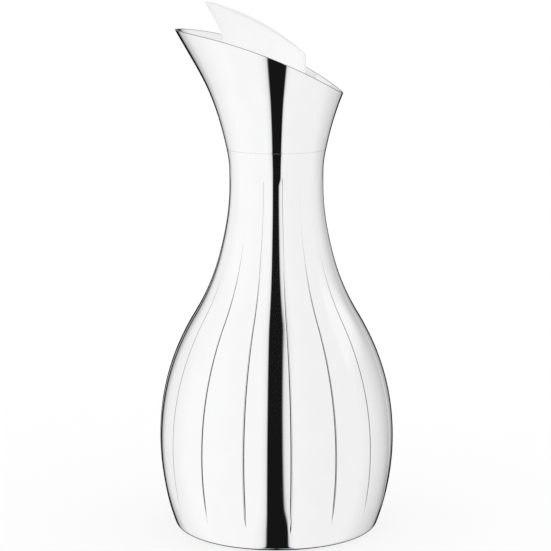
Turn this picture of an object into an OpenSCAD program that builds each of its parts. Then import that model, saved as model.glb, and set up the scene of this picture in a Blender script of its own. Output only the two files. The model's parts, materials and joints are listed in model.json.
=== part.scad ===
// Insulated pouring jug: a lobed bottle body, a flared steel spout collar and a tilting beaked stopper.
// Millimetres. +Z is up, the origin is under the middle of the foot, and the spout points to -X.

/* [Body outline] */
// Radius of the belly at its widest
belly_r = 60.3; // [58:0.1:63]
// Height of the widest part of the belly
belly_z = 47; // [42:1:52]
// Radius where the side wall runs into the base corner
base_r = 52.6; // [50:0.1:54]
// Rounding of the base corner
base_corner_r = 4; // [3:0.5:5]
// Radius at the steepest part of the shoulder
shoulder_r = 41.9; // [40:0.1:44]
// Height of the steepest part of the shoulder
shoulder_z = 112; // [108:1:116]
// Radius where the shoulder eases into the neck
nape_r = 29.1; // [28:0.1:31]
// Height where the shoulder eases into the neck
nape_z = 142; // [138:1:146]
// Radius of the long neck
neck_r = 24.3; // [24:0.1:26]
// Height where the neck is nearly straight
neck_z = 168; // [164:1:172]
// Smallest radius of the neck
waist_r = 23.85; // [23.5:0.05:25]
// Height of the smallest radius
waist_z = 185; // [182:1:188]
// Height of the seam between the body and the spout collar
seam_z = 195.9; // [194.5:0.1:196.4]
// Thickness of the steel sheet
sheet_t = 0.8; // [0.6:0.1:1]

/* [Lobes] */
// Number of convex lobes round the body
lobe_count = 16; // [12:2:20]
// Angle of the first crease, from +X
crease_turn = 6.9; // [0:0.1:22]
// How far a crease lies below the lobe crests at the belly
lobe_depth = 1.3; // [0.6:0.1:1.6]
// Height where the lobes start below the seam
lobe_top_z = 184; // [180:1:186]
// Height where the lobes have faded out above the base
lobe_bottom_z = 11; // [6:1:14]

/* [Inner flask] */
// Space between the outside of the body and the outside of the flask at the belly
belly_gap = 4.6; // [3.5:0.1:7]
// Radius of the bore in the neck
bore_r = 20.9; // [20.6:0.1:21]
// Height of the underside of the flask
flask_floor_z = 8; // [7:0.5:12]

/* [Spout collar] */
// Thickness of the collar wall
collar_t = 0.9; // [0.7:0.1:1.1]
// Radius of the flare half way up the collar
flare_r = 33.2; // [32:0.1:35]
// Radius of the flare at the height of the spout tip
rim_r = 51.4; // [49:0.1:53]
// Height of the spout tip on the uncut flare
rim_z = 257; // [254:1:260]
// Radius of the sweep that cuts the slanted mouth
mouth_sweep_r = 193; // [180:1:210]

/* [Stopper lid] */
// Distance of the lid's centre from the jug's axis, towards the back
lid_x = -5.6; // [-7:0.1:-4]
// Radius of the straight part of the lid
lid_r = 20.45; // [18:0.05:21]
// Height where the lid starts to flare
lid_flare_z = 246; // [242:1:250]
// Radius of the flare at the beak
beak_r = 30.2; // [28:0.1:32]
// Height of the beak
beak_z = 270; // [266:1:272]
// Height of the top at the back of the lid
back_z = 243.5; // [242:0.5:245.5]
// Radius of the arched top, which curves from front to back only
crown_r = 134; // [110:1:160]
// Wall of the lid
lid_t = 1.6; // [1.2:0.1:2]

/* [Valve] */
// Radius of the pivot pin
pin_r = 1.2; // [1:0.1:1.4]
// Distance of the pivot from the jug's axis
pivot_x = -12.5; // [-12.7:0.1:-12]
// Height of the pivot
pivot_z = 192; // [191.5:0.5:192.5]
// Radius of the silicone valve disc
valve_r = 13.2; // [12.6:0.1:13.4]
// Radius of the opening that the disc closes
seat_r = 11.8; // [11:0.1:12]

/* [Hidden] */

steel = "gainsboro";
white_plastic = "white";
silicone = "lightgray";
ROUND = 96;

// Base
foot_gap = 0.5;                                   // the silicone ring lifts the steel off the table
base_lean = 0.36;                                 // outward lean of the wall above the base corner
lean_angle = atan(base_lean);
corner_z = foot_gap + base_corner_r;              // centre of the base corner
wall_z = corner_z - base_corner_r * sin(lean_angle);
corner_r = base_r - base_corner_r * cos(lean_angle);
flange_r = 46.2;                                  // inner edge of the turned-in base flange
plate_z = foot_gap + sheet_t + 0.05;              // the plate lies on the flange
recess_r = 34;
recess_h = 2;
port_r = 1.5;

// Side of the body, then of the collar: [height, radius, slope]
body_side = [
    [wall_z, base_r, base_lean],
    [belly_z, belly_r, 0],
    [shoulder_z, shoulder_r, -0.61],
    [nape_z, nape_r, -0.26],
    [neck_z, neck_r, -0.09],
    [waist_z, waist_r, 0],
    [196.5, 25.3, 0.215],
    [223, flare_r, 0.405],
    [rim_z, rim_r, 0.53]
];
seam_gap = 0.15;                                  // each edge stops this far from the seam line
shell_top_z = seam_z - seam_gap;
collar_z = seam_z + seam_gap;
mouth_sweep_x = -74.6;
mouth_sweep_z = 64.6;

// Flask
flask_corner_r = 9;
flask_lean = 0.25;
flask_lean_angle = atan(flask_lean);
flask_corner_z = flask_floor_z + flask_corner_r;
flask_wall_z = flask_corner_z - flask_corner_r * sin(flask_lean_angle);
flask_base_r = 51.6;
flask_side = [
    [flask_wall_z, flask_base_r, flask_lean],
    [belly_z, belly_r - belly_gap, 0],
    [shoulder_z, shoulder_r - 3.9, -0.6],
    [nape_z, nape_r - 3.2, -0.24],
    [neck_z, bore_r + sheet_t, 0]
];
lip_top_z = shell_top_z - 0.15;

// Neck fittings
liner_r = 19.4;                                   // bore of the plastic liner
liner_z = 176;
liner_flange_z = seam_z + 1;
liner_flange_h = 2;

// Stopper frame
frame_z = 184;
frame_r = liner_r - 0.2;
frame_bore_r = 16.6;
frame_flange_z = liner_flange_z + liner_flange_h + 0.05;
frame_flange_h = 1.5;
seat_z = 186.5;
groove_z = 189;
groove_h = 2.5;
groove_r = 18.2;
ear_z = 189.6;
ear_h = 6;
ear_inner_y = 5.3;
ear_outer_y = 8;

// Rocker
lug_r = 2.4;
lug_half_w = 5;
stem_r = 6;
valve_z = seat_z + 0.1;
valve_h = 2;
foot_z = valve_z + valve_h;
lid_floor_z = 224;
lid_corner_r = 6;
crown_front = [lid_x - beak_r, beak_z];
crown_back = [lid_x + lid_r, back_z];
crown_chord = crown_back - crown_front;
crown_half = norm(crown_chord) / 2;
crown_middle = (crown_front + crown_back) / 2;
crown_normal = [crown_chord[1], -crown_chord[0]] / (2 * crown_half);
crown_centre = crown_middle + crown_normal * sqrt(crown_r ^ 2 - crown_half ^ 2);
screw_r = 1.5;

// Cubic curve between two stations
function stretch(a, b, x) =
    let (h = b[0] - a[0], t = (x - a[0]) / h)
    (2 * t ^ 3 - 3 * t ^ 2 + 1) * a[1] + (t ^ 3 - 2 * t ^ 2 + t) * h * a[2]
    + (3 * t ^ 2 - 2 * t ^ 3) * b[1] + (t ^ 3 - t ^ 2) * h * b[2];

function along(stations, x, i = 0) =
    i >= len(stations) - 2 || x <= stations[i + 1][0]
        ? stretch(stations[i], stations[i + 1], x)
        : along(stations, x, i + 1);

function side_r(z) = along(body_side, z);
function side_slope(z) = (side_r(z + 0.1) - side_r(z - 0.1)) / 0.2;
function inside_r(z, t) = side_r(z) - t * sqrt(1 + side_slope(z) ^ 2);
function ease(x) = let (u = max(0, min(1, x))) u * u * (3 - 2 * u);

// Depth of the creases at a height: they deepen with the body and fade out near the base
function crease_depth(z) =
    lobe_depth * (side_r(z) / belly_r) ^ 1.5
    * ease((lobe_top_z - z) / 3) * ease((z - lobe_bottom_z) / 14);

// One turn of points: 1 at a crease and 0 on a crest, squared to give round lobes
STEPS = 4 * lobe_count;
function crease_share(j) = let (u = (j % 4) / 4) (2 * u - 1) ^ 2;
function ring(r, z, depth) = [
    for (j = [0 : STEPS - 1])
        let (a = crease_turn + j * 360 / STEPS, q = r - depth * crease_share(j))
        [q * cos(a), q * sin(a), z]
];

wall_levels = 26;
function level(i) = wall_z + (lobe_top_z - 4 - wall_z) * i / wall_levels;
levels = concat(
    [for (i = [0 : wall_levels]) level(i)],
    [for (z = [lobe_top_z - 2, lobe_top_z, lobe_top_z + 4, shell_top_z]) z]
);
corner_angles = [for (a = [0 : 3]) -90 + a * (90 - lean_angle) / 4];

module body_shell() {
    outside = concat(
        [ring(flange_r, foot_gap, 0)],
        [for (a = corner_angles)
            ring(corner_r + base_corner_r * cos(a), corner_z + base_corner_r * sin(a), 0)],
        [for (z = levels) ring(side_r(z), z, crease_depth(z))]
    );
    inside = concat(
        [for (k = [len(levels) - 1 : -1 : 1])
            let (z = levels[k]) ring(inside_r(z, sheet_t), z, crease_depth(z))],
        [for (k = [3 : -1 : 0])
            let (a = corner_angles[k], r = base_corner_r - sheet_t)
            ring(corner_r + r * cos(a), corner_z + r * sin(a), 0)],
        [ring(flange_r, foot_gap + sheet_t, 0)]
    );
    rings = concat(outside, inside);
    n = len(rings);
    color(steel)
    polyhedron(
        points = [for (turn = rings) each turn],
        faces = [
            for (i = [0 : n - 1], j = [0 : STEPS - 1])
                let (
                    a = i * STEPS + j,
                    b = ((i + 1) % n) * STEPS + j,
                    c = ((i + 1) % n) * STEPS + (j + 1) % STEPS,
                    d = i * STEPS + (j + 1) % STEPS
                )
                each [[a, b, c], [a, c, d]]
        ]
    );
}

function flask_outline(inset) = concat(
    [[0, flask_floor_z + inset]],
    [for (k = [0 : 6])
        let (
            a = -90 + k * (90 - flask_lean_angle) / 6,
            r = flask_corner_r - inset,
            middle = flask_base_r - flask_corner_r * cos(flask_lean_angle)
        )
        [middle + r * cos(a), flask_corner_z + r * sin(a)]],
    [for (k = [1 : 36])
        let (z = flask_wall_z + (neck_z - flask_wall_z) * k / 36)
        [along(flask_side, z) - inset, z]],
    [[bore_r + sheet_t - inset, lip_top_z]]
);

module inner_flask() {
    inner = flask_outline(sheet_t);
    color(steel)
    rotate_extrude($fn = ROUND)
    union() {
        polygon(concat(flask_outline(0), [for (k = [len(inner) - 1 : -1 : 0]) inner[k]]));
        translate([bore_r, lip_top_z - sheet_t])
        square([inside_r(lip_top_z, sheet_t) - 0.25 - bore_r, sheet_t]);
    }
}

module base_plate() {
    low = plate_z;
    high = plate_z + recess_h;
    color(steel)
    difference() {
        rotate_extrude($fn = ROUND)
        polygon([
            [0, high], [recess_r, high], [recess_r + recess_h, low], [flange_r + 1.3, low],
            [flange_r + 1.3, low + sheet_t], [recess_r + recess_h + 0.4, low + sheet_t],
            [recess_r + 0.4, high + sheet_t], [0, high + sheet_t]
        ]);
        translate([0, 0, low])
        cylinder(r = port_r, h = recess_h + 2, $fn = 48);
    }
}

module vacuum_seal() {
    color("darkgray")
    translate([0, 0, plate_z + recess_h - 0.7]) {
        cylinder(r = 2.6, h = 0.65, $fn = 48);
        cylinder(r = port_r - 0.05, h = 1.4, $fn = 48);
    }
}

module getter() {
    color("dimgray")
    translate([20, 0, flask_floor_z - 1.6])
    cylinder(r = 4, h = 1.5, $fn = 48);
}

module base_cover() {
    color(steel)
    rotate_extrude($fn = ROUND)
    polygon([
        [0, plate_z + 0.3], [28, plate_z + 0.3], [29, plate_z], [recess_r - 0.4, plate_z],
        [recess_r - 0.4, plate_z + 0.6], [29.4, plate_z + 0.6], [28.4, plate_z + 0.9], [0, plate_z + 0.9]
    ]);
}

module foot_ring() {
    color(silicone)
    rotate_extrude($fn = ROUND)
    polygon([
        [40, 0], [45.2, 0], [45.7, 0.4], [45.7, plate_z - 0.05], [39.5, plate_z - 0.05], [39.5, 0.4]
    ]);
}

// Side of the collar, from its lower edge to a little above the spout tip
collar_levels = 30;
collar_top_z = rim_z + 4;
function collar_level(i) = collar_z + (collar_top_z - collar_z) * i / collar_levels;

module spout_collar() {
    color(steel)
    intersection() {
        rotate_extrude($fn = ROUND)
        polygon(concat(
            [for (i = [0 : collar_levels]) let (z = collar_level(i)) [side_r(z), z]],
            [for (i = [collar_levels : -1 : 0]) let (z = collar_level(i)) [inside_r(z, collar_t), z]]
        ));
        translate([mouth_sweep_x, 0, mouth_sweep_z])
        rotate([90, 0, 0])
        cylinder(r = mouth_sweep_r, h = 140, center = true, $fn = 256);
    }
}

module neck_liner() {
    color(white_plastic)
    rotate_extrude($fn = ROUND)
    union() {
        translate([liner_r, liner_z])
        square([bore_r - 0.1 - liner_r, liner_flange_z + liner_flange_h - liner_z]);
        translate([liner_r, liner_flange_z])
        square([inside_r(liner_flange_z, collar_t) - 0.05 - liner_r, liner_flange_h]);
    }
}

module neck_gasket() {
    color(silicone)
    rotate_extrude($fn = ROUND)
    translate([bore_r, lip_top_z + 0.05])
    square([inside_r(seam_z, collar_t) - 0.15 - bore_r, liner_flange_z - lip_top_z - 0.1]);
}

module stopper_frame() {
    top_z = frame_flange_z + frame_flange_h;
    color(white_plastic)
    difference() {
        union() {
            rotate_extrude($fn = ROUND)
            polygon([
                [seat_r, frame_z], [frame_r - 0.8, frame_z], [frame_r, frame_z + 0.8], [frame_r, groove_z],
                [groove_r, groove_z], [groove_r, groove_z + groove_h], [frame_r, groove_z + groove_h],
                [frame_r, frame_flange_z], [frame_r + 3.4, frame_flange_z], [frame_r + 3.4, top_z],
                [frame_bore_r, top_z], [frame_bore_r, seat_z], [seat_r, seat_z]
            ]);
            intersection() {
                for (side = [-1, 1])
                    translate([pivot_x, side * (ear_inner_y + ear_outer_y) / 2, ear_z + ear_h / 2])
                    cube([7, ear_outer_y - ear_inner_y, ear_h], center = true);
                translate([0, 0, ear_z - 1])
                cylinder(r = frame_bore_r + 0.4, h = ear_h + 2, $fn = ROUND);
            }
        }
        translate([pivot_x, 0, pivot_z])
        rotate([90, 0, 0])
        cylinder(r = pin_r + 0.02, h = 2 * (ear_outer_y + 1), center = true, $fn = 48);
    }
}

module stopper_seal() {
    color(silicone)
    rotate_extrude($fn = ROUND)
    polygon([
        [groove_r + 0.05, groove_z + 0.1], [frame_r, groove_z + 0.1], [frame_r + 0.15, groove_z + 0.5],
        [frame_r + 0.15, groove_z + groove_h - 0.5], [frame_r, groove_z + groove_h - 0.1],
        [groove_r + 0.05, groove_z + groove_h - 0.1]
    ]);
}

module pivot_pin() {
    color("silver")
    translate([pivot_x, 0, pivot_z])
    rotate([90, 0, 0])
    cylinder(r = pin_r, h = 2 * ear_outer_y, center = true, $fn = 48);
}

// Side of the lid seen from the front: a straight drum that flares towards the beak
function lid_outline_r(z) = along([[lid_flare_z, lid_r, 0], [beak_z, beak_r, 0.5]], z);
module lid_form(inset) {
    top_z = beak_z + 3;
    floor_z = lid_floor_z + inset;
    r = lid_corner_r - inset;
    translate([lid_x, 0, 0])
    rotate_extrude($fn = ROUND)
    polygon(concat(
        [[0, floor_z]],
        [for (a = [-90 : 15 : 0])
            [lid_r - lid_corner_r + r * cos(a), lid_floor_z + lid_corner_r + r * sin(a)]],
        [for (k = [0 : 16])
            let (z = lid_flare_z + (top_z - lid_flare_z) * k / 16) [lid_outline_r(z) - inset, z]],
        [[0, top_z]]
    ));
}

module crown(inset) {
    translate([crown_centre[0], 0, crown_centre[1]])
    rotate([90, 0, 0])
    cylinder(r = crown_r - inset, h = 4 * lid_r, center = true, $fn = 256);
}

module lid_shell() {
    color(white_plastic)
    difference() {
        intersection() {
            lid_form(0);
            crown(0);
        }
        lid_form(lid_t);
    }
}

module lid_top() {
    color(white_plastic)
    difference() {
        intersection() {
            lid_form(lid_t + 0.05);
            crown(0);
        }
        crown(lid_t);
    }
}

module ballast() {
    color("darkgray")
    intersection() {
        translate([lid_x, 0, lid_floor_z + lid_t + 0.4])
        cylinder(r = lid_r - lid_t - 3, h = 8, $fn = ROUND);
        translate([0, -20, lid_floor_z])
        cube([40, 40, 20]);
    }
}

module rocker_stem() {
    color(white_plastic)
    difference() {
        union() {
            translate([0, 0, foot_z])
            cylinder(r = 8.5, h = 1.8, $fn = ROUND);
            translate([0, 0, foot_z])
            cylinder(r = stem_r, h = lid_floor_z - 0.05 - foot_z, $fn = ROUND);
            translate([pivot_x, -lug_half_w, pivot_z - lug_r])
            cube([-pivot_x, 2 * lug_half_w, 2 * lug_r]);
            translate([pivot_x, 0, pivot_z])
            rotate([90, 0, 0])
            cylinder(r = lug_r, h = 2 * lug_half_w, center = true, $fn = 64);
        }
        translate([pivot_x, 0, pivot_z])
        rotate([90, 0, 0])
        cylinder(r = pin_r + 0.05, h = 4 * lug_half_w, center = true, $fn = 48);
        translate([0, 0, foot_z - 1])
        cylinder(r = screw_r + 0.05, h = 9, $fn = 48);
    }
}

module valve_seal() {
    color(silicone)
    translate([0, 0, valve_z])
    difference() {
        union() {
            cylinder(r = valve_r, h = 1.2, $fn = ROUND);
            cylinder(r = valve_r - 3, h = valve_h - 0.05, $fn = ROUND);
        }
        translate([0, 0, -1])
        cylinder(r = screw_r + 0.1, h = 5, $fn = 48);
    }
}

module valve_retainer() {
    color(white_plastic)
    difference() {
        translate([0, 0, valve_z - 1.75])
        cylinder(r = seat_r - 2.8, h = 1.7, $fn = ROUND);
        translate([0, 0, valve_z - 3])
        cylinder(r = screw_r + 0.1, h = 5, $fn = 48);
    }
}

module valve_screw() {
    head_z = valve_z - 3;
    color("silver")
    difference() {
        union() {
            translate([0, 0, head_z])
            cylinder(r = 3, h = 1.2, $fn = 48);
            translate([0, 0, head_z])
            cylinder(r = screw_r, h = foot_z + 7 - head_z, $fn = 48);
        }
        translate([0, 0, head_z + 0.3])
        cube([0.8, 4.4, 0.8], center = true);
    }
}

body_shell();
inner_flask();
base_plate();
vacuum_seal();
getter();
base_cover();
foot_ring();
spout_collar();
neck_liner();
neck_gasket();
stopper_frame();
stopper_seal();
pivot_pin();
lid_shell();
lid_top();
ballast();
rocker_stem();
valve_seal();
valve_retainer();
valve_screw();
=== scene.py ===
import json
import math

import bpy
import numpy as np
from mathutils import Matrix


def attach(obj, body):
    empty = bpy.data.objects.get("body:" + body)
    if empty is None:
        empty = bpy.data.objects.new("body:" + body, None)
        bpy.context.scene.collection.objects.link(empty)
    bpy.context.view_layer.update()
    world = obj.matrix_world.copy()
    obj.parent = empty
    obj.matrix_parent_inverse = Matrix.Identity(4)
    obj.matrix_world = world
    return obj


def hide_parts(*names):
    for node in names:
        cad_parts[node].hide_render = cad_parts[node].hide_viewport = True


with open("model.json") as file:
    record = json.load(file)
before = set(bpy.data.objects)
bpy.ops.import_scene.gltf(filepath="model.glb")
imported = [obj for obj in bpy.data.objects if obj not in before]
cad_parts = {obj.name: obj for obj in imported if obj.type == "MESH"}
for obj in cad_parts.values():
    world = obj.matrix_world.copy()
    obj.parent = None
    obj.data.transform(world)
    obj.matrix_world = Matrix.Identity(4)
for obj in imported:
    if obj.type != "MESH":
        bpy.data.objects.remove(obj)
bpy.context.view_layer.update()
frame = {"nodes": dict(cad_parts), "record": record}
NODES = frame["nodes"]

MM = 0.001

# ---------------------------------------------------------------- dimensions, in millimetres
BELLY_R = 60.3
BASE_R = 52.6
BASE_SLOPE = 0.36
WALL_Z = 3.145                                    # the side wall starts where the base corner ends
NECK_Z = 172.0
WAIST_Z = 185.0

# Side of the body, then of the collar: height, radius, slope
BODY_SIDE = [
    (WALL_Z, BASE_R, BASE_SLOPE),
    (47.0, BELLY_R, 0.0),
    (112.0, 41.9, -0.61),
    (142.0, 29.1, -0.26),
    (168.0, 24.3, -0.09),
    (WAIST_Z, 23.85, 0.0),
    (196.5, 25.3, 0.215),
    (223.0, 33.2, 0.405),
    (257.0, 51.4, 0.53),
]
SEAM_Z = 195.9
SEAM_HALF = 0.03                                  # half the width of the hairline seam
SEAM_EDGE_R = 0.04
BODY_T = 0.8
COLLAR_T = 0.9
FOOT_GAP = 0.5
BASE_CORNER_R = 4.0
BASE_LEAN = math.atan(BASE_SLOPE)
FLANGE_R = 46.2
FLANGE_EDGE_R = 0.4

LOBES = 16
LOBE_TURN = math.radians(6.9)
LOBE_TOP_Z = 184.0
LOBE_TOP_RUN = 4.0
LOBE_BOTTOM_Z = 10.5
LOBE_BOTTOM_RUN = 16.0
LOBE_WAVE = 0.32
NECK_CREASE = 0.25                                # depth of the creases in the neck, as a share
NECK_R = 25.0
SHARPEN_RUN = 9.0
# Painted shade in the creases: how dark the base colour is painted at the crease bottoms, how far that
# spreads from them, and the radius from which it fades in and over how much radius
CREASE_PAINTED_SHADE = 0.92
CREASE_PAINTED_SHADE_SPREAD = 1.3
CREASE_PAINTED_SHADE_FROM_R = 27.0
CREASE_PAINTED_SHADE_RUN = 12.0
# Painted dark reflection along the collar's cut lip and painted shade over the collar's inside: the shares of
# the near-black colour mixed in there, the colour itself, and the roughness added wherever shade is painted
LIP_PAINTED_REFLECTION = 0.9
INSIDE_PAINTED_SHADE = 0.1
PAINTED_SHADE_COLOR = (0.05, 0.05, 0.052, 1)
DULL_ROUGHNESS = 0.4
CREASE_BENDS = [(0.45, 20), (1.0, 70)]            # radius of the rolled edge, up to a slope in degrees

# The slanted mouth lies on a cylinder with its axis along Y
MOUTH_X = -74.6
MOUTH_Z = 64.6
MOUTH_R = 193.0
LIP_R = 0.1
LIP_STEPS = 4
LIP_MARGIN = 0.35                                 # the wall's last ring lies this far below the lip

LID_X = -5.6
LID_R = 20.45
LID_FLOOR_Z = 224.0
LID_CORNER_R = 6.0
LID_FLARE = [(246.0, 20.45, 0.0), (270.0, 30.2, 0.5)]
LID_T = 1.6
LID_GAP = 0.06                                    # between the lid's wall and the panel inside it
LID_EDGE_R = 0.2
LID_INNER_EDGE_R = 0.12

# The lid's arched top lies on a cylinder with its axis along Y
CROWN_X = -71.17
CROWN_Z = 140.75
CROWN_R = 134.0


# ---------------------------------------------------------------- curves
def along(stations, z):
    """Radius at the heights z of a smooth curve through the stations."""
    z = np.asarray(z, float)
    out = np.zeros_like(z)
    for k, (a, b) in enumerate(zip(stations, stations[1:])):
        last = k == len(stations) - 2
        here = (z >= a[0]) if k else np.full(z.shape, True)
        if not last:
            here = here & (z < b[0])
        h = b[0] - a[0]
        t = (z[here] - a[0]) / h
        out[here] = (
            (2 * t**3 - 3 * t**2 + 1) * a[1]
            + (t**3 - 2 * t**2 + t) * h * a[2]
            + (3 * t**2 - 2 * t**3) * b[1]
            + (t**3 - t**2) * h * b[2]
        )
    return out


def side_r(z):
    return along(BODY_SIDE, z)


def inside_r(z, t):
    slope = (side_r(z + 0.1) - side_r(z - 0.1)) / 0.2
    return side_r(z) - t * np.sqrt(1 + slope**2)


def ease(x):
    u = np.clip(x, 0, 1)
    return u * u * (3 - 2 * u)


def arc(cx, cz, r, start, end, steps):
    """Points of an arc, in degrees, as (radius, height) pairs."""
    a = np.radians(np.linspace(start, end, steps + 1))
    return np.column_stack([cx + r * np.cos(a), cz + r * np.sin(a)])


def fillet(before, corner, after, r, steps):
    """The corner rounded off with radius r, as steps + 1 points."""
    before, corner, after = (np.asarray(p, float) for p in (before, corner, after))
    u = (before - corner) / np.linalg.norm(before - corner)
    v = (after - corner) / np.linalg.norm(after - corner)
    half = math.acos(max(-1.0, min(1.0, float(u @ v)))) / 2
    reach = r / math.tan(half)
    middle = corner + (u + v) / np.linalg.norm(u + v) * (r / math.sin(half))
    a = corner + u * reach - middle
    b = corner + v * reach - middle
    turn = math.pi - 2 * half
    out = []
    for k in range(steps + 1):
        t = k / steps
        out.append(middle + (a * math.sin((1 - t) * turn) + b * math.sin(t * turn)) / math.sin(turn))
    return np.array(out)


# ---------------------------------------------------------------- meshes
def mesh_object(name, points, faces):
    mesh = bpy.data.meshes.new(name)
    mesh.from_pydata([tuple(p) for p in points], [], faces)
    mesh.validate()
    mesh.polygons.foreach_set("use_smooth", [True] * len(mesh.polygons))
    mesh.update()
    obj = bpy.data.objects.new(name, mesh)
    bpy.context.scene.collection.objects.link(obj)
    return obj


def revolve(name, turns, profiles, axis_x=0.0, closed=True):
    """A skin through one profile per turn. An open profile starts and ends on the axis."""
    turns = np.asarray(turns)
    profiles = np.asarray(profiles)
    n, m = profiles.shape[:2]
    rho, z = profiles[..., 0], profiles[..., 1]
    x = axis_x + rho * np.cos(turns)[:, None]
    y = rho * np.sin(turns)[:, None]
    points = np.stack([x, y, z], axis=-1).reshape(-1, 3) * MM
    faces = []
    for i in range(n):
        j = (i + 1) % n
        for k in range(m if closed else m - 1):
            q = (k + 1) % m
            faces.append((i * m + k, j * m + k, j * m + q, i * m + q))
    if not closed:
        # the poles collapse to one point each
        points = list(map(tuple, points))
        low, high = points[0], points[m - 1]
        keep = {}
        fresh = [low, high]
        for i in range(n):
            for k in range(1, m - 1):
                keep[i * m + k] = len(fresh)
                fresh.append(points[i * m + k])
        faces = []
        for i in range(n):
            j = (i + 1) % n
            faces.append((0, keep[j * m + 1], keep[i * m + 1]))
            for k in range(1, m - 2):
                faces.append((keep[i * m + k], keep[j * m + k], keep[j * m + k + 1], keep[i * m + k + 1]))
            faces.append((keep[i * m + m - 2], keep[j * m + m - 2], 1))
        points = fresh
    return mesh_object(name, points, faces)


def set_painted_shade(obj, shares):
    """How far a near-black is painted in and the polish is lost at each point: painted shade in the creases,
    a painted dark reflection along the cut lip, painted shade and a satin roughness inside the collar.
    """
    obj.data.attributes.new("painted_shade", "FLOAT", "POINT").data.foreach_set("value", np.ravel(shares))


def even_turns(n):
    return np.arange(n) * 2 * math.pi / n


def crease_section():
    """Half of a crease at the belly, from its bottom outwards: distance from the crease and depth."""
    points = [(0.0, 0.0)]
    slope = 0.0
    for radius, limit in CREASE_BENDS:
        steps = math.ceil((math.radians(limit) - slope) / math.radians(6))
        for a in np.linspace(slope, math.radians(limit), steps + 1)[1:]:
            x, z = points[-1]
            across = radius * (math.sin(a) - math.sin(slope))
            down = radius * (math.cos(slope) - math.cos(a))
            points.append((x + across, z + down))
            slope = a
    points = np.array(points)
    return (points[-1, 0] - points[:, 0])[::-1], points[::-1, 1]


def lobe_points():
    """Turns round the body, and how deep the wave and the crease are at each of them."""
    half = math.pi / LOBES
    half_width = BELLY_R * half
    distance, depth = crease_section()
    further = np.array([0.15, 0.4, 0.8, 1.5, 2.4, 3.6, 5.2, 7.2, 9.2]) + distance[-1]
    side = 1 - np.concatenate([distance, further]) / half_width
    crease = np.concatenate([depth, np.zeros(len(further))])
    u = np.concatenate([-side, [0.0], side[:0:-1]])
    crease = np.concatenate([crease, [0.0], crease[:0:-1]])
    wave = LOBE_WAVE * (1 - np.cos(math.pi * u)) / 2
    centres = LOBE_TURN + half * (2 * np.arange(LOBES) + 1)
    return (centres[:, None] + half * u).ravel(), np.tile(wave, LOBES), np.tile(crease, LOBES)


def lobe_fade(z):
    return ease((LOBE_TOP_Z - z) / LOBE_TOP_RUN) * ease((z - LOBE_BOTTOM_Z) / LOBE_BOTTOM_RUN)


def body_mesh():
    turns, waves, creases = lobe_points()
    corner_r = BASE_R - BASE_CORNER_R * math.cos(BASE_LEAN)
    corner_z = FOOT_GAP + BASE_CORNER_R
    lean = math.degrees(BASE_LEAN)
    top = SEAM_Z - SEAM_HALF
    z = np.concatenate([
        np.linspace(WALL_Z, 24, 14)[1:],
        np.linspace(24, NECK_Z, 49)[1:],
        np.linspace(NECK_Z, WAIST_Z, 14)[1:],
        np.linspace(WAIST_Z, top - 0.1, 8)[1:],
    ])
    z_in = np.concatenate([[top - 0.1], np.linspace(LOBE_TOP_Z, 8, 17), [3.6]])
    flange_edge = arc(FLANGE_R + FLANGE_EDGE_R, FOOT_GAP + FLANGE_EDGE_R, FLANGE_EDGE_R, 90, 270, 6)
    corner_out = arc(corner_r, corner_z, BASE_CORNER_R, -90, -lean, 10)
    corner_in = arc(corner_r, corner_z, BASE_CORNER_R - BODY_T, -lean, -90, 6)
    r_top_out, r_top_in = float(side_r(top)), float(inside_r(top, BODY_T))
    lip = np.vstack([
        fillet((r_top_out, top - 1), (r_top_out, top), (r_top_in, top), SEAM_EDGE_R, 2),
        fillet((r_top_out, top), (r_top_in, top), (r_top_in, top - 1), SEAM_EDGE_R, 2),
    ])
    wall_out = np.column_stack([side_r(z), z])
    wall_in = np.column_stack([inside_r(z_in, BODY_T), z_in])
    profile = np.vstack([flange_edge, corner_out, wall_out, lip, wall_in, corner_in])
    fade = lobe_fade(profile[:, 1])
    fade[: len(flange_edge) + len(corner_out)] = 0
    fade[-len(corner_in):] = 0
    size = profile[:, 0] / BELLY_R
    sharp = NECK_CREASE + (1 - NECK_CREASE) * ease((profile[:, 0] - NECK_R) / SHARPEN_RUN)
    profiles = []
    for wave, crease in zip(waves, creases):
        p = profile.copy()
        p[:, 0] -= fade * size * (wave + crease * sharp)
        profiles.append(p)
    body = revolve("steel_body", turns, profiles)
    # Painted shade: the base colour is darkened towards each crease bottom, on the wider part of the body
    deep = ease(creases / creases.max() * CREASE_PAINTED_SHADE_SPREAD)
    set_painted_shade(body, np.outer(deep, fade * CREASE_PAINTED_SHADE * ease((profile[:, 0] - CREASE_PAINTED_SHADE_FROM_R) / CREASE_PAINTED_SHADE_RUN)))
    return body


def solve_top(inside, low, high, count):
    """Height at which each of count rising edges leaves the region where inside(z) holds."""
    low = np.full(count, float(low))
    high = np.full(count, float(high))
    for _ in range(36):
        mid = (low + high) / 2
        within = inside(mid)
        low = np.where(within, mid, low)
        high = np.where(within, high, mid)
    return low


def mouth_height(turns, wall_r):
    """Height of the slanted mouth on a wall, at each turn."""
    def inside(z):
        return (wall_r(z) * np.cos(turns) - MOUTH_X) ** 2 + (z - MOUTH_Z) ** 2 < MOUTH_R**2

    return solve_top(inside, SEAM_Z + 5, 262, len(turns))


def collar_inside_r(z):
    return inside_r(z, COLLAR_T)


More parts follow.
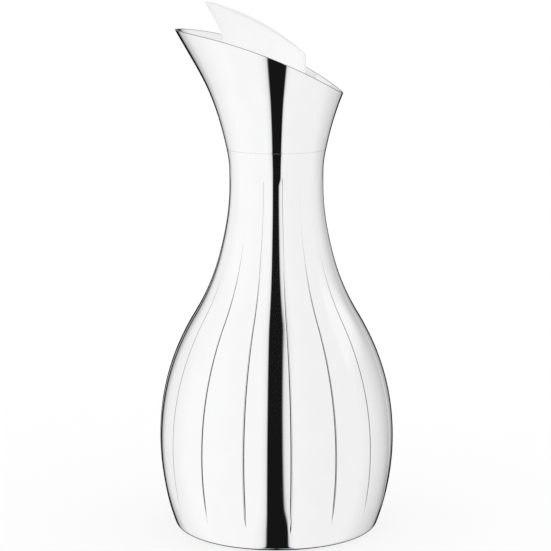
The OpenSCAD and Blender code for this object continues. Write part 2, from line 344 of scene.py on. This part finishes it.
def collar_mesh():
    turns = even_turns(384)
    low = SEAM_Z + SEAM_HALF
    tops_out = mouth_height(turns, side_r)
    tops_in = mouth_height(turns, collar_inside_r)
    r_low_out, r_low_in = float(side_r(low)), float(collar_inside_r(low))
    foot_in = fillet((r_low_in, low + 1), (r_low_in, low), (r_low_out, low), SEAM_EDGE_R, 2)
    foot_out = fillet((r_low_in, low), (r_low_out, low), (r_low_out, low + 1), SEAM_EDGE_R, 2)
    rise = np.linspace(0, 1, 40)[1:]
    profiles = []
    for top_out, top_in in zip(tops_out, tops_in):
        z_out = low + (top_out - LIP_MARGIN - low) * rise
        z_in = low + (top_in - LIP_MARGIN - low) * rise[::-1]
        edge_out = (side_r(top_out), top_out)
        edge_in = (collar_inside_r(top_in), top_in)
        under_out = (side_r(top_out - 2), top_out - 2)
        under_in = (collar_inside_r(top_in - 2), top_in - 2)
        profiles.append(np.vstack([
            foot_out,
            np.column_stack([side_r(z_out), z_out]),
            fillet(under_out, edge_out, edge_in, LIP_R, LIP_STEPS),
            fillet(edge_out, edge_in, under_in, LIP_R, LIP_STEPS),
            np.column_stack([collar_inside_r(z_in), z_in]),
            foot_in,
        ]))
    collar = revolve("steel_collar", turns, profiles)
    foot, wall, lip = len(foot_out), len(rise), 2 * (LIP_STEPS + 1)
    # Painted dark reflection along the lip, and painted shade with extra roughness over the inside wall and
    # its foot
    painted_shade = np.concatenate([
        np.zeros(foot + wall),
        np.full(lip, LIP_PAINTED_REFLECTION),
        np.full(wall + len(foot_in), INSIDE_PAINTED_SHADE),
    ])
    set_painted_shade(collar, np.tile(painted_shade, len(turns)))
    return collar


def lid_r(z, inset=0.0):
    z = np.asarray(z, float)
    return np.where(z < LID_FLARE[0][0], LID_R, along(LID_FLARE, z)) - inset


def crown_height(turns, inset, drop=0.0):
    """Height at which the lid's wall, that far inside its outline, meets the arched top, at each turn."""
    def inside(z):
        x = LID_X + lid_r(z, inset) * np.cos(turns) - CROWN_X
        return x * x + (z - CROWN_Z) ** 2 < (CROWN_R - drop) ** 2

    return solve_top(inside, 228, 275, len(turns))


def crown_line(turn, radii, drop=0.0):
    """Points over the arched top at one turn of the lid, at these distances from the lid's axis."""
    x = LID_X + radii * math.cos(turn) - CROWN_X
    return np.column_stack([radii, CROWN_Z + np.sqrt((CROWN_R - drop) ** 2 - x * x)])


def lid_shell_mesh():
    turns = even_turns(288)
    corner = LID_FLOOR_Z + LID_CORNER_R
    bottom = arc(LID_R - LID_CORNER_R, corner, LID_CORNER_R, -90, 0, 10)
    bottom_in = arc(LID_R - LID_CORNER_R, corner, LID_CORNER_R - LID_T, 0, -90, 6)[1:]
    profiles = []
    for top, top_in in zip(crown_height(turns, 0), crown_height(turns, LID_T)):
        z_out = np.linspace(corner, top - 0.6, 34)[1:]
        z_in = np.linspace(top_in - 0.4, corner, 16)
        edge = (lid_r(top), top)
        edge_in = (lid_r(top_in, LID_T), top_in)
        profiles.append(np.vstack([
            [(0, LID_FLOOR_Z), (7, LID_FLOOR_Z)],
            bottom,
            np.column_stack([lid_r(z_out), z_out]),
            fillet((lid_r(top - 1), top - 1), edge, edge_in, LID_EDGE_R, 5),
            fillet(edge, edge_in, (lid_r(top_in - 1, LID_T), top_in - 1), LID_INNER_EDGE_R, 3),
            np.column_stack([lid_r(z_in, LID_T), z_in]),
            bottom_in,
            [(0, LID_FLOOR_Z + LID_T)],
        ]))
    return revolve("lid_drum", turns, profiles, LID_X, closed=False)


def lid_top_mesh():
    turns = even_turns(192)
    inset = LID_T + LID_GAP
    tops = crown_height(turns, inset)
    lows = crown_height(turns, inset, LID_T)
    profiles = []
    for turn, top, low in zip(turns, tops, lows):
        edge = (lid_r(top, inset), top)
        under = (lid_r(low, inset), low)
        over = crown_line(turn, np.linspace(0, edge[0] - 0.2, 30))
        below = crown_line(turn, np.linspace(0, under[0] - 0.1, 12), LID_T)
        rim = fillet(under, edge, over[-1], LID_INNER_EDGE_R, 3)
        profiles.append(np.vstack([below, [under], rim, over[::-1]]))
    return revolve("lid_panel", turns, profiles, LID_X, closed=False)


# ---------------------------------------------------------------- materials
class Nodes:
    """Short hand for building one material's node tree."""

    def __init__(self, name):
        self.material = bpy.data.materials.new(name)
        self.material.use_nodes = True
        self.tree = self.material.node_tree
        self.shader = self.tree.nodes["Principled BSDF"]
        self.place = self.add("ShaderNodeTexCoord").outputs["Object"]

    def add(self, kind, **settings):
        node = self.tree.nodes.new(kind)
        for key, value in settings.items():
            setattr(node, key, value)
        return node

    def link(self, a, b):
        self.tree.links.new(a, b)

    def scaled(self, scale, place=None):
        node = self.add("ShaderNodeMapping")
        node.inputs["Scale"].default_value = scale
        self.link(place or self.place, node.inputs["Vector"])
        return node.outputs["Vector"]

    def noise(self, scale, place=None, detail=3.0, rough=0.5):
        node = self.add("ShaderNodeTexNoise")
        node.inputs["Scale"].default_value = scale
        node.inputs["Detail"].default_value = detail
        node.inputs["Roughness"].default_value = rough
        self.link(place or self.place, node.inputs["Vector"])
        return node.outputs["Fac"]

    def spread(self, value, low, high, start=0.3, end=0.7):
        node = self.add("ShaderNodeMapRange")
        node.inputs["From Min"].default_value = start
        node.inputs["From Max"].default_value = end
        node.inputs["To Min"].default_value = low
        node.inputs["To Max"].default_value = high
        self.link(value, node.inputs["Value"])
        return node.outputs["Result"]

    def tint(self, value, dark, light, start=0.3, end=0.7):
        node = self.add("ShaderNodeValToRGB")
        node.color_ramp.elements[0].position = start
        node.color_ramp.elements[0].color = (*dark, 1)
        node.color_ramp.elements[1].position = end
        node.color_ramp.elements[1].color = (*light, 1)
        self.link(value, node.inputs["Fac"])
        return node.outputs["Color"]

    def bump(self, height, distance, strength=1.0):
        node = self.add("ShaderNodeBump")
        node.inputs["Strength"].default_value = strength
        node.inputs["Distance"].default_value = distance
        self.link(height, node.inputs["Height"])
        self.link(node.outputs["Normal"], self.shader.inputs["Normal"])

    def turned(self):
        """Coordinates that only change with radius and height, for lathe and brush marks."""
        split = self.add("ShaderNodeSeparateXYZ")
        self.link(self.place, split.inputs["Vector"])
        flat = self.add("ShaderNodeVectorMath", operation="LENGTH")
        join = self.add("ShaderNodeCombineXYZ")
        self.link(split.outputs["X"], join.inputs["X"])
        self.link(split.outputs["Y"], join.inputs["Y"])
        self.link(join.outputs["Vector"], flat.inputs[0])
        out = self.add("ShaderNodeCombineXYZ")
        self.link(flat.outputs["Value"], out.inputs["X"])
        self.link(split.outputs["Z"], out.inputs["Z"])
        return out.outputs["Vector"]

    def set(self, **values):
        for key, value in values.items():
            self.shader.inputs[key.replace("_", " ")].default_value = value


def polished_steel():
    m = Nodes("polished_steel")
    m.set(Metallic=1.0)
    haze = m.noise(90, detail=4)
    bright = m.tint(haze, (0.925, 0.925, 0.93), (0.94, 0.94, 0.945))
    # The point attribute mixes a painted near-black into the base colour and raises the roughness: painted
    # shade in the creases and inside the collar, a painted dark reflection along the lip
    painted_shade = m.add("ShaderNodeAttribute", attribute_name="painted_shade").outputs["Fac"]
    fleck = m.spread(m.noise(700, detail=3), 0.85, 1.0)
    painted_shade_share = m.add("ShaderNodeMath", operation="MULTIPLY")
    m.link(painted_shade, painted_shade_share.inputs[0])
    m.link(fleck, painted_shade_share.inputs[1])
    painted_shade_mix = m.add("ShaderNodeMix", data_type="RGBA")
    m.link(painted_shade_share.outputs["Value"], painted_shade_mix.inputs["Factor"])
    m.link(bright, painted_shade_mix.inputs[6])
    painted_shade_mix.inputs[7].default_value = PAINTED_SHADE_COLOR
    m.link(painted_shade_mix.outputs[2], m.shader.inputs["Base Color"])
    polish = m.noise(2600, m.turned(), detail=2)
    rough = m.add("ShaderNodeMath", operation="MULTIPLY_ADD")
    m.link(painted_shade, rough.inputs[0])
    rough.inputs[1].default_value = DULL_ROUGHNESS
    m.link(m.spread(polish, 0.02, 0.045), rough.inputs[2])
    m.link(rough.outputs["Value"], m.shader.inputs["Roughness"])
    return m.material


def brushed_steel(name, tone, rough):
    m = Nodes(name)
    m.set(Metallic=1.0)
    lines = m.noise(3200, m.turned(), detail=5, rough=0.65)
    dark = tuple(0.9 * c for c in tone)
    m.link(m.tint(lines, dark, tone), m.shader.inputs["Base Color"])
    m.link(m.spread(lines, rough * 0.8, rough * 1.25), m.shader.inputs["Roughness"])
    m.bump(lines, 0.00001, 0.5)
    return m.material


def satin_plastic():
    m = Nodes("white_plastic")
    m.set(IOR=1.46, Specular_IOR_Level=0.15)
    cloud = m.noise(60, detail=3)
    m.link(m.tint(cloud, (0.903, 0.903, 0.903), (0.917, 0.917, 0.917)), m.shader.inputs["Base Color"])
    grain = m.noise(5200, detail=2, rough=0.6)
    m.link(m.spread(grain, 0.36, 0.46), m.shader.inputs["Roughness"])
    m.bump(grain, 0.000008, 0.5)
    return m.material


def silicone():
    m = Nodes("silicone")
    m.set(IOR=1.41)
    cloud = m.noise(180, detail=4)
    m.link(m.tint(cloud, (0.55, 0.55, 0.54), (0.62, 0.62, 0.61)), m.shader.inputs["Base Color"])
    grain = m.noise(3000, detail=3)
    m.link(m.spread(grain, 0.5, 0.7), m.shader.inputs["Roughness"])
    m.bump(grain, 0.00002, 0.4)
    return m.material


def cast_steel():
    m = Nodes("weight_steel")
    m.set(Metallic=1.0)
    grain = m.noise(900, detail=6, rough=0.6)
    m.link(m.tint(grain, (0.3, 0.3, 0.31), (0.45, 0.45, 0.46)), m.shader.inputs["Base Color"])
    m.link(m.spread(grain, 0.45, 0.65), m.shader.inputs["Roughness"])
    m.bump(grain, 0.00008, 0.6)
    return m.material


def paint(obj, material):
    obj.data.materials.clear()
    obj.data.materials.append(material)


# ---------------------------------------------------------------- the object
MATERIALS = {
    "polished_steel": polished_steel(),
    "flask_steel": brushed_steel("flask_steel", (0.72, 0.72, 0.73), 0.28),
    "white_plastic": satin_plastic(),
    "silicone": silicone(),
    "weight_steel": cast_steel(),
    "bright_pin": brushed_steel("bright_pin", (0.78, 0.78, 0.79), 0.2),
}

SLOTS = {part["node"]: part["material_slot"] for part in frame["record"]["subparts"]}
REPLACED = {
    "body_shell": body_mesh,
    "spout_collar": collar_mesh,
    "lid_shell": lid_shell_mesh,
    "lid_top": lid_top_mesh,
}
BODY_OF = {
    node: body
    for body, members in frame["record"]["behaviour"]["bodies"].items()
    for node in members
}

# Mirror steel and what it encloses don't darken the floor and the lid: the renderer doesn't follow the light
# that a mirror throws onto a matt surface
ENCLOSED = ["inner_flask", "base_plate", "base_cover", "vacuum_seal", "getter"]

for node, obj in NODES.items():
    slot = SLOTS[node]
    if node in REPLACED:
        piece = REPLACED[node]()
        paint(piece, MATERIALS[slot])
        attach(piece, BODY_OF[node])
        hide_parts(node)
        piece.visible_diffuse = slot != "polished_steel"
    else:
        paint(obj, MATERIALS[slot])
        obj.visible_diffuse = node not in ENCLOSED

# ---------------------------------------------------------------- floor, light and camera
FLOOR = 20.0
FLOOR_Z = -0.0001
floor_mesh = bpy.data.meshes.new("floor")
corners = [(-FLOOR, -FLOOR), (FLOOR, -FLOOR), (FLOOR, FLOOR), (-FLOOR, FLOOR)]
floor_mesh.from_pydata([(x, y, FLOOR_Z) for x, y in corners], [], [(0, 1, 2, 3)])
floor = bpy.data.objects.new("floor", floor_mesh)
bpy.context.scene.collection.objects.link(floor)
floor.visible_glossy = False
ground = Nodes("floor")
ground.set(Roughness=1.0)
ground.shader.inputs["Specular IOR Level"].default_value = 0.0
mottle = ground.noise(3, detail=4)
pale = ground.tint(mottle, (0.925, 0.925, 0.925), (0.935, 0.935, 0.935))
ground.link(pale, ground.shader.inputs["Base Color"])
paint(floor, ground.material)

# What a polished surface sees, by how far to the side it looks: in front of the jug, and behind it
FRONT = [
    (-1.0, 1.02), (-0.9, 1.02), (-0.6, 1.0), (-0.34, 1.0), (-0.28, 0.97), (-0.24, 0.94), (-0.20, 0.88),
    (-0.165, 0.74), (-0.15, 0.30), (-0.138, 0.008), (0.168, 0.008), (0.18, 0.50), (0.192, 0.80), (0.21, 0.88),
    (0.235, 0.93), (0.27, 0.965), (0.6, 0.945), (1.0, 0.94),
]
BACK = [
    (-1.0, 1.02), (-0.94, 0.99), (-0.86, 0.955), (-0.77, 0.92), (-0.70, 0.89), (-0.64, 0.84), (-0.60, 0.72),
    (-0.55, 0.68), (-0.48, 0.58), (-0.42, 0.42), (-0.37, 0.10), (-0.33, 0.0), (0.33, 0.0), (0.39, 0.24),
    (0.46, 0.50), (0.64, 0.66), (0.79, 0.754), (0.866, 0.79), (0.94, 0.86), (1.0, 0.94),
]

BACKDROP = 0.985                                  # the backdrop as the camera sees it
SOFT_LIGHT = 1.08                                 # the light that falls on matt surfaces

world = bpy.data.worlds.new("studio")
bpy.context.scene.world = world
world.use_nodes = True
tree = world.node_tree
background = tree.nodes["Background"]


def studio_ramp(stops, sideways):
    node = tree.nodes.new("ShaderNodeValToRGB")
    ramp = node.color_ramp
    ramp.interpolation = "LINEAR"
    while len(ramp.elements) > 1:
        ramp.elements.remove(ramp.elements[-1])
    for k, (x, light) in enumerate(stops):
        stop = ramp.elements[0] if k == 0 else ramp.elements.new((x + 1) / 2)
        stop.position = (x + 1) / 2
        stop.color = (light, light, light, 1)
    tree.links.new(sideways, node.inputs["Fac"])
    return node.outputs["Color"]


def world_range(value, from_low, from_high, low, high, kind="LINEAR"):
    node = tree.nodes.new("ShaderNodeMapRange")
    node.interpolation_type = kind
    node.inputs["From Min"].default_value = from_low
    node.inputs["From Max"].default_value = from_high
    node.inputs["To Min"].default_value = low
    node.inputs["To Max"].default_value = high
    tree.links.new(value, node.inputs["Value"])
    return node.outputs["Result"]


def world_mix(share, a, b):
    node = tree.nodes.new("ShaderNodeMix")
    node.data_type = "RGBA"
    tree.links.new(share, node.inputs["Factor"])
    for value, socket in ((a, node.inputs[6]), (b, node.inputs[7])):
        if isinstance(value, (int, float)):
            socket.default_value = (value, value, value, 1)
        else:
            tree.links.new(value, socket)
    return node.outputs[2]


def world_math(operation, *values):
    node = tree.nodes.new("ShaderNodeMath")
    node.operation = operation
    for value, socket in zip(values, node.inputs):
        if isinstance(value, (int, float)):
            socket.default_value = value
        else:
            tree.links.new(value, socket)
    return node.outputs["Value"]


direction = tree.nodes.new("ShaderNodeTexCoord").outputs["Generated"]
split = tree.nodes.new("ShaderNodeSeparateXYZ")
tree.links.new(direction, split.inputs["Vector"])
across, ahead, up = split.outputs["X"], split.outputs["Y"], split.outputs["Z"]
squares = [world_math("MULTIPLY", side, side) for side in (across, ahead)]
level = world_math("MAXIMUM", world_math("SQRT", world_math("ADD", *squares)), 0.001)
bearing = world_math("DIVIDE", across, level)
behind = world_range(ahead, -0.1, 0.1, 0, 1, "SMOOTHSTEP")
overhead = world_range(up, 0.15, 0.4, 0, 1, "SMOOTHSTEP")
in_front = studio_ramp(FRONT, world_range(across, -1, 1, 0, 1))
at_back = world_mix(overhead, studio_ramp(BACK, world_range(bearing, -1, 1, 0, 1)), 1.0)
seen_in_steel = world_mix(behind, in_front, at_back)
path = tree.nodes.new("ShaderNodeLightPath")
plain = world_mix(path.outputs["Is Camera Ray"], SOFT_LIGHT, BACKDROP)
tree.links.new(world_mix(path.outputs["Is Glossy Ray"], plain, seen_in_steel), background.inputs["Color"])

CAMERA_PLACE = (-0.00045, -0.9788, 0.29365)
CAMERA_DOWN = 9.438                               # degrees below level
SENSOR = 36
LENS = 126.7
camera_data = bpy.data.cameras.new("camera")
camera_data.sensor_width = SENSOR
camera_data.lens = LENS
camera_data.clip_start = 0.05
camera_data.clip_end = 100
camera = bpy.data.objects.new("camera", camera_data)
bpy.context.scene.collection.objects.link(camera)
camera.location = CAMERA_PLACE
camera.rotation_euler = (math.radians(90 - CAMERA_DOWN), 0, 0)
bpy.context.scene.camera = camera
bpy.context.scene.view_settings.view_transform = "Standard"
